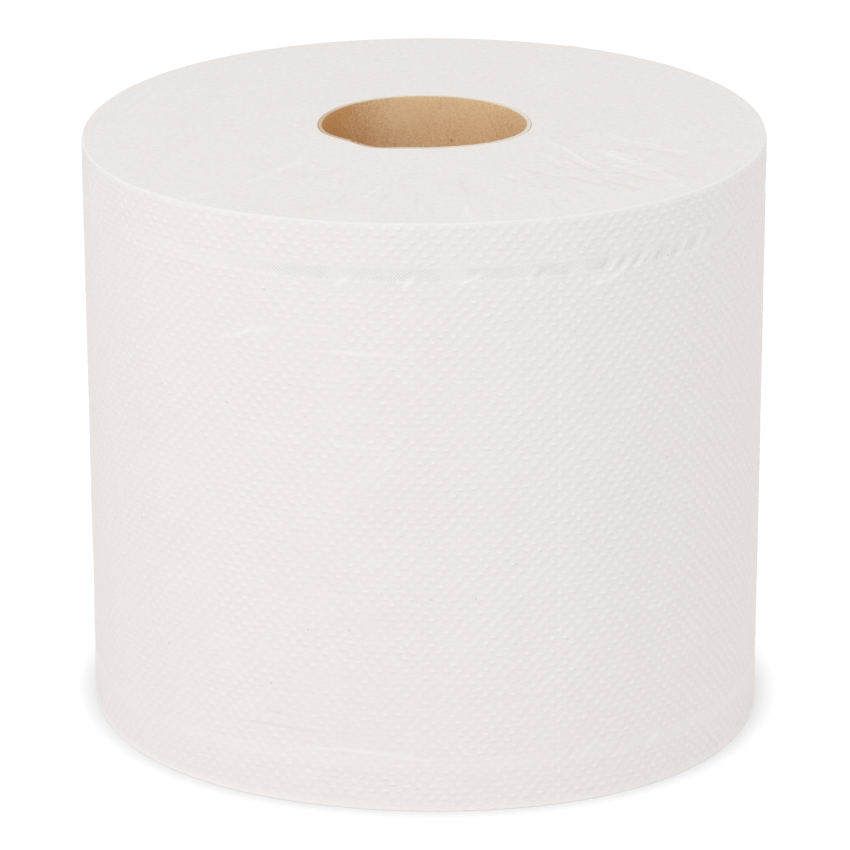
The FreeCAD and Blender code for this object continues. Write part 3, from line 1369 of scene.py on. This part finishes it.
@dataclass(frozen=True)
class TissueFinish:
    """Soft white tissue: fibres, creping, and the fine crossed lines of the crimped bands.

    Attributes:
        face: The web's face, which says where the dots are.
        white: The paper's colour.
        shade: Its colour in thin and shaded places.
        crest: Its painted highlight colour: on the crests of creases, the dots' tops, the bands' crossed
        lines, and the painted light along the rims.
        dark: The colour of its few specks.
        hatch_along: From one crossed line of the bands to the next, along the web.
        hatch_up: The same, up its width.
        hatch_patches: Where those lines are stronger.
        top_along: How far from a dot's middle its top reaches, along the web; the top is painted lighter and
        the sheet between the dots is painted in shade.
        top_up: The same, up its width.
        dot_patches: Where the dots' tops are stronger.
        cloud: The grain of its soft clouds.
        fibre: The grain of its fibres, which lie along the web.
        crepe: The grain of its creping, whose ridges run across the web.
        speck_scale: The cells a metre in which a speck may lie.
        speck_chance: The cells' own draw, from 0 to 1, over which one gets its speck.
        speck_size: A speck's middle and its rim, as shares of a cell.
        raising: How much each part pulls the paper towards its painted highlight colour.
        surface: How the face is shaded, raised and rough.
    """

    face: WebFace
    white: Colour = (0.893, 0.857, 0.842)
    shade: Colour = (0.826, 0.786, 0.767)
    crest: Colour = (0.955, 0.925, 0.915)
    dark: Colour = (0.70, 0.66, 0.63)
    hatch_along: float = 0.95 * MM
    hatch_up: float = 1.15 * MM
    hatch_patches: Patches = Patches(Grain(90.0, 1.0), 0.3, 0.6, 0.6, 1.1)
    top_along: float = 1.35 * MM
    top_up: float = 0.8 * MM
    dot_patches: Patches = Patches(Grain(170.0, 1.0), 0.3, 0.65, 0.45, 1.0)
    cloud: Grain = Grain(55.0, 3.0)
    fibre: Grain = Grain(1050.0, 4.0, 0.7, along=0.6)
    crepe: Grain = Grain(1500.0, 3.0, along=0.22)
    speck_scale: float = 75.0
    speck_chance: tuple[float, float] = (0.945, 0.95)
    speck_size: tuple[float, float] = (0.014, 0.03)
    # Painted highlights: on the creases' crests, the dots' tops, the bands' crossed lines and along the rims
    raising: Weights = (("ridge", 1.0), ("dots", 0.15), ("rim", 0.35), ("lines", 0.75))
    surface: Surface = Surface(
        # painted shade in the hatch's pits, between the dots and in the furrows; the rims and the bands
        # painted lighter
        tone=(
            ("cloud", 0.3), ("fibre", 1.1), ("crepe", 0.6), ("hatch", -3.0), ("dots", -0.5),
            ("slit", -0.3), ("fold", -0.5), ("rim", -0.3), ("band", -0.42),
        ),
        tone_start=-0.51,
        relief=(("fibre", 0.7), ("crepe", 0.6), ("hatch", 0.85), ("dots", 1.5)),
        depth=0.1 * MM,
        tilt=1.0,
        gloss=0.25,
        rough=0.84,
        fibre_rough=0.12,
    )

    def material(self) -> bpy.types.Material:
        """The face's finish, on the chart of the web.

        Returns:
            The material.
        """
        graph = Graph(bpy.data.materials.new("embossed_tissue"))
        along, up = graph.chart()
        parts = {name: graph.mark(name) for name in ("band", "slit", "fold", "rim")}
        for name, grain in (("cloud", self.cloud), ("fibre", self.fibre), ("crepe", self.crepe)):
            parts[name] = graph.noise(grain, along, up)
        band = parts["band"]
        # the crossed lines: their bump, with painted shade in their pits and a painted highlight on their
        # lines
        parts["hatch"] = self._hatch(graph, along, up) * band * band
        # the dots' tops: their bump, a painted highlight on them, and painted shade between them
        parts["dots"] = self._dots(graph, along, up) * graph.mark("firm") * (1 - band)
        parts["ridge"] = graph.positive(parts["fold"])
        parts["lines"] = graph.positive(parts["hatch"])
        paper = graph.mix(graph.tone(parts, self.surface), self.white, self.shade)
        paper = graph.mix(graph.clamped(graph.sum(parts, self.raising)), paper, self.crest)
        colour = graph.mix(self._specks(graph, graph.vector(along, up)), paper, self.dark)
        return graph.finish(colour, parts, self.surface)

    def _dots(self, graph: Graph, along: Value, up: Value) -> Value:
        """The dots' tops, (1 - d²)², on the same two lattices as in the mesh, stronger in patches.

        Args:
            graph: The finish's graph.
            along: The distance along the web.
            up: The height above its lower edge.

        Returns:
            Their strength, from 0 to 1.
        """
        pitch = self.face.dot_pitch
        tops: Number = 0.0
        for shift in (0.0, LATTICE_SHIFT):
            aside = graph.math("PINGPONG", along / pitch - shift, LATTICE_SHIFT) * (pitch / self.top_along)
            above = graph.math("PINGPONG", up / pitch - shift, LATTICE_SHIFT) * (pitch / self.top_up)
            tops = graph.positive(1 - aside * aside - above * above) ** 2 + tops
        return tops * graph.patches(self.dot_patches, along, up)

    def _hatch(self, graph: Graph, along: Value, up: Value) -> Value:
        """The bands' crossed lines: cos(2πx / p) · cos(2πy / q), stronger in patches.

        Args:
            graph: The finish's graph.
            along: The distance along the web.
            up: The height above its lower edge.

        Returns:
            Their strength, from about -1 to 1.
        """
        lines = graph.math("COSINE", along * (FULL_TURN / self.hatch_along))
        lines = lines * graph.math("COSINE", up * (FULL_TURN / self.hatch_up))
        return lines * graph.patches(self.hatch_patches, along, up)

    def _specks(self, graph: Graph, at: Value) -> Value:
        """A few pinhead specks of darker pulp: the middles of some cells of a coarse Voronoi pattern.

        Args:
            graph: The finish's graph.
            at: The place on the web.

        Returns:
            1 in a speck, and 0 elsewhere.
        """
        settings = {"voronoi_dimensions": "2D", "feature": "F1"}
        inputs = {"Vector": at, "Scale": self.speck_scale}
        near = graph.node("ShaderNodeTexVoronoi", settings, inputs, "Distance")
        drawn = Value(graph, near.socket.node.outputs["Color"])
        chosen = graph.step(graph.node("ShaderNodeSeparateColor", inputs={0: drawn}), *self.speck_chance)
        return (1 - graph.step(near, *self.speck_size)) * chosen


@dataclass(frozen=True)
class TurnsFinish:
    """The edges of the wound turns: fine rings of fibres, with soft clouds.

    Attributes:
        white: The edges' colour.
        shade: The colour between turns, and the painted shade in the wrinkles' furrows.
        cloud: The grain of its soft clouds.
        rings: The grain of its fine rings, which follow the turns.
        wide: The grain of its wider rings.
        fibre: The grain of its fibres.
        surface: How the edges are shaded, raised and rough.
    """

    white: Colour = (0.862, 0.821, 0.796)
    shade: Colour = (0.783, 0.740, 0.713)
    cloud: Grain = Grain(60.0, 3.0)
    rings: Grain = Grain(2300.0, 3.0, 0.65, along=0.02)
    wide: Grain = Grain(420.0, along=0.01)
    fibre: Grain = Grain(520.0, 5.0, 0.75)
    surface: Surface = Surface(
        # fold paints shade in the wrinkles' furrows and a highlight on their crests
        tone=(("cloud", 0.4), ("rings", 0.5), ("wide", 0.3), ("fibre", 2.4), ("fold", -0.65)),
        tone_start=-1.3,
        relief=(("rings", 0.6), ("fibre", 3.0), ("wide", 0.4)),
        depth=0.045 * MM,
        tilt=0.7,
        gloss=0.2,
        rough=0.86,
        fibre_rough=0.1,
    )

    def material(self) -> bpy.types.Material:
        """The ends' finish, on the chart of the turns.

        Returns:
            The material.
        """
        graph = Graph(bpy.data.materials.new("wound_edges"))
        along, out = graph.chart()
        x, y, _ = graph.place()
        parts = {
            "fold": graph.mark("fold"),
            "cloud": graph.noise(self.cloud, x, y),
            "rings": graph.noise(self.rings, along, out),
            "wide": graph.noise(self.wide, along, out),
            "fibre": graph.noise(self.fibre, x, y),
        }
        colour = graph.mix(graph.tone(parts, self.surface), self.white, self.shade)
        return graph.finish(colour, parts, self.surface)


@dataclass(frozen=True)
class KraftFinish:
    """Brown kraft board: mottled pulp, long fibres, dark flecks, and a pale fuzzy cut edge.

    Attributes:
        high: The height of the cut edge.
        bore_radius: The tube's inner radius.
        tan: The board's main colour.
        deep: Its darker pulp, and the painted shade on its darker side.
        pale: Its lighter pulp.
        edge: The cut edge's colour.
        shaded_edge: The cut edge's colour on the darker side.
        fleck: The colour of its dark flecks.
        shaded_side: The heading of its darker side, in degrees.
        shaded_reach: The shares of the radius towards that side at which the dark starts and is full.
        right_reach: The same for the +X side.
        knot: The place of its one large fleck.
        knot_size: The radii within which that fleck is full, and past which it is gone.
        knot_rag: How ragged its rim is.
        knot_share: How strong it is.
        mottle: The grain of its pulp.
        cloud: The grain of its soft clouds.
        fibre: The grain of its fibres.
        fibre_slant: How much the fibres slant down the wall.
        fibre_edges: The noise at which a pale fibre starts and is full.
        fibre_share: How strong a pale fibre is.
        flecks: Where its flecks are, and how strong.
        cut_edges: How far under the cut edge its colour starts, and is full.
        cut_fuzz: How fuzzy that is.
        surface: How the board is toned, with its painted shade, raised and rough.
    """

    high: float
    bore_radius: float
    tan: Colour = (0.94, 0.715, 0.443)
    deep: Colour = (0.71, 0.375, 0.14)
    pale: Colour = (0.93, 0.74, 0.50)
    edge: Colour = (0.75, 0.70, 0.60)
    shaded_edge: Colour = (0.60, 0.46, 0.32)
    fleck: Colour = (0.40, 0.22, 0.08)
    shaded_side: float = 200.0
    shaded_reach: tuple[float, float] = (-0.2, 1.0)
    right_reach: tuple[float, float] = (0.1, 1.0)
    knot: tuple[float, float, float] = (0.0088, 0.0318, 0.1790)
    knot_size: tuple[float, float] = (0.15 * MM, 0.75 * MM)
    knot_rag: float = 1.2 * MM
    knot_share: float = 0.65
    mottle: Grain = Grain(1250.0, 5.0, 0.75)
    cloud: Grain = Grain(60.0, 3.0)
    fibre: Grain = Grain(2100.0, 4.0, 0.7, along=0.45)
    fibre_slant: float = 0.3
    fibre_edges: tuple[float, float] = (0.48, 0.8)
    fibre_share: float = 0.7
    flecks: Patches = Patches(Grain(900.0, 1.0, along=0.5), 0.76, 0.84, 0.0, 0.35)
    cut_edges: tuple[float, float] = (0.42 * MM, 0.12 * MM)
    cut_fuzz: float = 0.5 * MM
    surface: Surface = Surface(
        tone=(("mottle", 2.7), ("cloud", 0.8), ("toward_shade", -1.15), ("right", -0.1)),
        tone_start=-0.88,
        relief=(("fibre", 0.7), ("mottle", 0.6)),
        depth=0.06 * MM,
        tilt=0.8,
        gloss=0.3,
        rough=0.72,
        fibre_rough=0.18,
    )

    def material(self) -> bpy.types.Material:
        """The tube's finish, on the chart of its wall.

        Returns:
            The material.
        """
        graph = Graph(bpy.data.materials.new("kraft_board"))
        around, path = graph.chart()
        x, y, z = graph.place()
        # Painted shade: the board is darker on the side where the inner wall gets less light; the right
        # weight darkens it a little towards +X
        side = math.radians(self.shaded_side)
        toward_shade = (x * math.cos(side) + y * math.sin(side)) / self.bore_radius
        parts = {
            "mottle": graph.noise(self.mottle, x, y, z),
            "cloud": graph.noise(self.cloud, x, y, z),
            "fibre": graph.noise(self.fibre, around, path + around * self.fibre_slant),
            "toward_shade": graph.step(toward_shade, *self.shaded_reach),
            "right": graph.step(x / self.bore_radius, *self.right_reach),
        }
        fibre = parts["fibre"]
        body = graph.mix(graph.tone(parts, self.surface), self.deep, self.tan)
        body = graph.mix(graph.step(fibre, *self.fibre_edges) * self.fibre_share, body, self.pale)
        flecks = graph.patches(self.flecks, around, path)
        knot = self._knot(graph, graph.vector(x, y, z), parts["mottle"])
        body = graph.mix(graph.math("MAXIMUM", flecks, knot), body, self.fleck)
        start, full = (self.high - drop for drop in self.cut_edges)
        cut = graph.step(z + (fibre - 0.5) * self.cut_fuzz, start, full)
        # the cut edge is painted darker on the shaded side too
        colour = graph.mix(cut, body, graph.mix(parts["toward_shade"], self.edge, self.shaded_edge))
        return graph.finish(colour, parts, self.surface)

    def _knot(self, graph: Graph, at: Value, mottle: Value) -> Value:
        """The large fleck's strength about its place, with a ragged rim."""
        away = graph.node("ShaderNodeVectorMath", {"operation": "DISTANCE"}, {0: at, 1: self.knot}, "Value")
        return (1 - graph.step(away + (mottle - 0.5) * self.knot_rag, *self.knot_size)) * self.knot_share


def dress(piece: bpy.types.Object, material: bpy.types.Material, node: str) -> bpy.types.Object:
    """Gives a piece its material and its body, and hides the solid that it stands for.

    Args:
        piece: The new piece.
        material: Its finish.
        node: The solid that it stands for.

    Returns:
        The piece.
    """
    piece.data.materials.append(material)
    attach(piece, "root")
    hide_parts(node)
    report(piece)
    return piece


# ---- The roll ----


@dataclass(frozen=True)
class PaperTowelRoll:
    """The whole roll, built on the solids' frame.

    Attributes:
        form: Its form.
        face: The face of its web.
    """

    form: RollForm
    face: WebFace

    @classmethod
    def from_frame(cls) -> "PaperTowelRoll":
        """Takes the heights from the frame's solids."""
        form = RollForm(web_top=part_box("wound_paper")[1].z)
        return cls(form, WebFace(form))

    def towels(self) -> list[Towel]:
        """The last turn's three towels, counted from the web's loose end back.

        Returns:
            The towels.
        """
        face, last = self.face, self.form.turn_length
        first_line = last - face.towel_length
        second_line = first_line - face.towel_length
        return [
            Towel("towel_1", face, first_line, last, last_end=TowelEnd.LOOSE),
            Towel("towel_2", face, second_line, first_line),
            Towel("towel_3", face, 0.0, second_line, first_end=TowelEnd.COVERED),
        ]

    def build(self) -> None:
        """Builds and dresses every piece of the roll."""
        towels = self.towels()
        tissue = TissueFinish(self.face).material()
        for towel in towels:
            dress(towel.build(), tissue, "wound_paper")
        places = np.unique(np.concatenate([towel.columns() for towel in towels]))
        ends = RollEnds(self.form, self.face, places[(places >= 0) & (places < self.form.turn_length)])
        turns = TurnsFinish().material()
        dress(ends.top(), turns, "wound_paper")
        dress(ends.base(), turns, "wound_paper")
        low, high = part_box("core_tube")
        tube = CoreTube(self.form, low.z, high.z)
        dress(tube.build(), KraftFinish(high.z, self.form.bore_radius).material(), "core_tube")


# ---- The studio ----


SEEING_RAYS = ("Camera", "Glossy", "Transmission")


@dataclass(frozen=True)
class Lamp:
    """A square soft box.

    Attributes:
        name: Its name.
        place: Where it stands.
        width: How wide it is.
        power: Its power, in watts.
        colour: The colour of its light.
    """

    name: str
    place: tuple[float, float, float]
    width: float
    power: float
    colour: Colour

    def build(self, target: tuple[float, float, float]) -> None:
        """Makes the lamp and turns it to its target.

        Args:
            target: The point that it shines on.
        """
        light = bpy.data.lights.new(self.name, "AREA")
        light.size = self.width
        light.energy = self.power
        light.color = self.colour
        made = bpy.data.objects.new(self.name, light)
        made.location = self.place
        way = np.array(target) - np.array(self.place)
        flat = float(np.hypot(way[0], way[1]))
        made.rotation_euler = (math.atan2(flat, -way[2]), 0.0, math.atan2(way[1], way[0]) - math.pi / 2)
        bpy.context.scene.collection.objects.link(made)


@dataclass(frozen=True)
class Studio:
    """A white table and surround, a soft key from the upper left and the camera.

    Attributes:
        middle: The point that the camera's distance and elevation are measured from.
        distance: From that point to the camera.
        elevation: The camera's elevation over that point, in degrees.
        pitch: How far down the camera looks, in degrees.
        aside: How far the camera stands to the right.
        lens: The focal length, in millimetres.
        sensor: The sensor's width, in millimetres.
        sight: How far the camera sees.
        sky: The strength of the even light all round.
        floor_half: Half the floor's width.
        floor_drop: How far it lies under the roll, so that no two faces share a plane.
        floor_white: The floor's colour.
        floor_glow: What the floor adds where the camera sees it.
        floor_shade: How much of the floor's shading the camera sees.
        contact_reach: How far from the roll its contact shadow reaches.
        contact: The floor's glow where it is wholly closed in: a painted contact shadow.
        contact_rays: How many rays look for what closes it in.
        lamps: The soft boxes.
    """

    middle: tuple[float, float, float]
    distance: float = 1.73485
    elevation: float = 19.03
    pitch: float = 19.2
    aside: float = 0.14 * MM
    lens: float = 223.9
    sensor: float = 36.0
    sight: float = 20.0
    sky: float = 0.79
    floor_half: float = 4.0
    floor_drop: float = 0.04 * MM
    floor_white: Colour = (0.938, 0.936, 0.946)
    floor_glow: float = 0.72
    floor_shade: Colour = (0.36, 0.36, 0.36)
    contact_reach: float = 10.0 * MM
    contact: Colour = (0.32, 0.32, 0.32)
    contact_rays: int = 8
    lamps: tuple[Lamp, ...] = (
        Lamp("key_softbox", (-0.20, -0.95, 2.50), 0.8, 13.0, (0.94, 1.0, 1.05)),
        Lamp("left_softbox", (-1.44, -1.44, 1.05), 0.6, 3.9, (1.03, 0.98, 0.87)),
        Lamp("right_softbox", (2.00, 0.95, 0.20), 1.0, 3.4, (1.06, 0.95, 0.70)),
    )

    def build(self) -> None:
        """Makes the light, the floor and the camera."""
        self._world()
        self._floor()
        for lamp in self.lamps:
            lamp.build(self.middle)
        self._camera()
        bpy.context.scene.view_settings.view_transform = "Standard"

    def _world(self) -> None:
        """An even white surround, which the camera, mirrors and glass see as plain white."""
        graph = Graph(bpy.data.worlds.new("studio"))
        rays = [graph.node("ShaderNodeLightPath", output=f"Is {kind} Ray") for kind in SEEING_RAYS]
        seen = functools.reduce(lambda first, second: graph.math("MAXIMUM", first, second), rays)
        levels = {"Value": seen, "To Min": self.sky, "To Max": 1.0}
        light = {"Color": WHITE, "Strength": graph.node("ShaderNodeMapRange", inputs=levels)}
        graph.close(graph.node("ShaderNodeBackground", inputs=light), "ShaderNodeOutputWorld")
        bpy.context.scene.world = graph.owner

    def _floor(self) -> None:
        """A plain floor: the camera sees it white, with a part of its shading left for the shadow."""
        half, level = self.floor_half, -self.floor_drop
        corners = [(-half, -half, level), (half, -half, level), (half, half, level), (-half, half, level)]
        mesh = bpy.data.meshes.new("floor")
        mesh.from_pydata(corners, [], [(0, 1, 2, 3)])
        floor = bpy.data.objects.new("floor", mesh)
        bpy.context.scene.collection.objects.link(floor)
        graph = Graph(bpy.data.materials.new("floor_white"))
        plain = graph.node("ShaderNodeBsdfDiffuse", inputs={"Color": self.floor_white})
        shaded = graph.node("ShaderNodeBsdfDiffuse", inputs={"Color": self.floor_shade})
        reach = {"Distance": self.contact_reach}
        # The glow's colour darkens where the floor is closed in: a painted contact shadow
        closed = graph.node("ShaderNodeAmbientOcclusion", {"samples": self.contact_rays}, reach, "AO")
        light = {"Color": graph.mix(closed, self.contact, WHITE), "Strength": self.floor_glow}
        shown = graph.node("ShaderNodeEmission", inputs=light)
        shown = graph.node("ShaderNodeAddShader", inputs={0: shaded, 1: shown})
        seen = graph.node("ShaderNodeLightPath", output="Is Camera Ray")
        graph.close(graph.node("ShaderNodeMixShader", inputs={0: seen, 1: plain, 2: shown}))
        mesh.materials.append(graph.owner)

    def _camera(self) -> None:
        """The camera, in front of the roll and above it."""
        camera = bpy.data.cameras.new("camera")
        camera.lens = self.lens
        camera.sensor_width = self.sensor
        camera.clip_end = self.sight
        made = bpy.data.objects.new("camera", camera)
        rise = math.radians(self.elevation)
        made.location = (
            self.middle[0] + self.aside,
            self.middle[1] - self.distance * math.cos(rise),
            self.middle[2] + self.distance * math.sin(rise),
        )
        made.rotation_euler = (math.radians(90 - self.pitch), 0.0, 0.0)
        bpy.context.scene.collection.objects.link(made)
        bpy.context.scene.camera = made


def main() -> None:
    """Builds the roll and its studio, in order, and reports each piece."""
    logging.basicConfig(level=logging.INFO, format="%(name)s: %(message)s")
    roll = PaperTowelRoll.from_frame()
    roll.build()
    Studio(middle=(0.0, 0.0, roll.form.sheet_width / 2)).build()


if __name__ == "__main__":
    main()
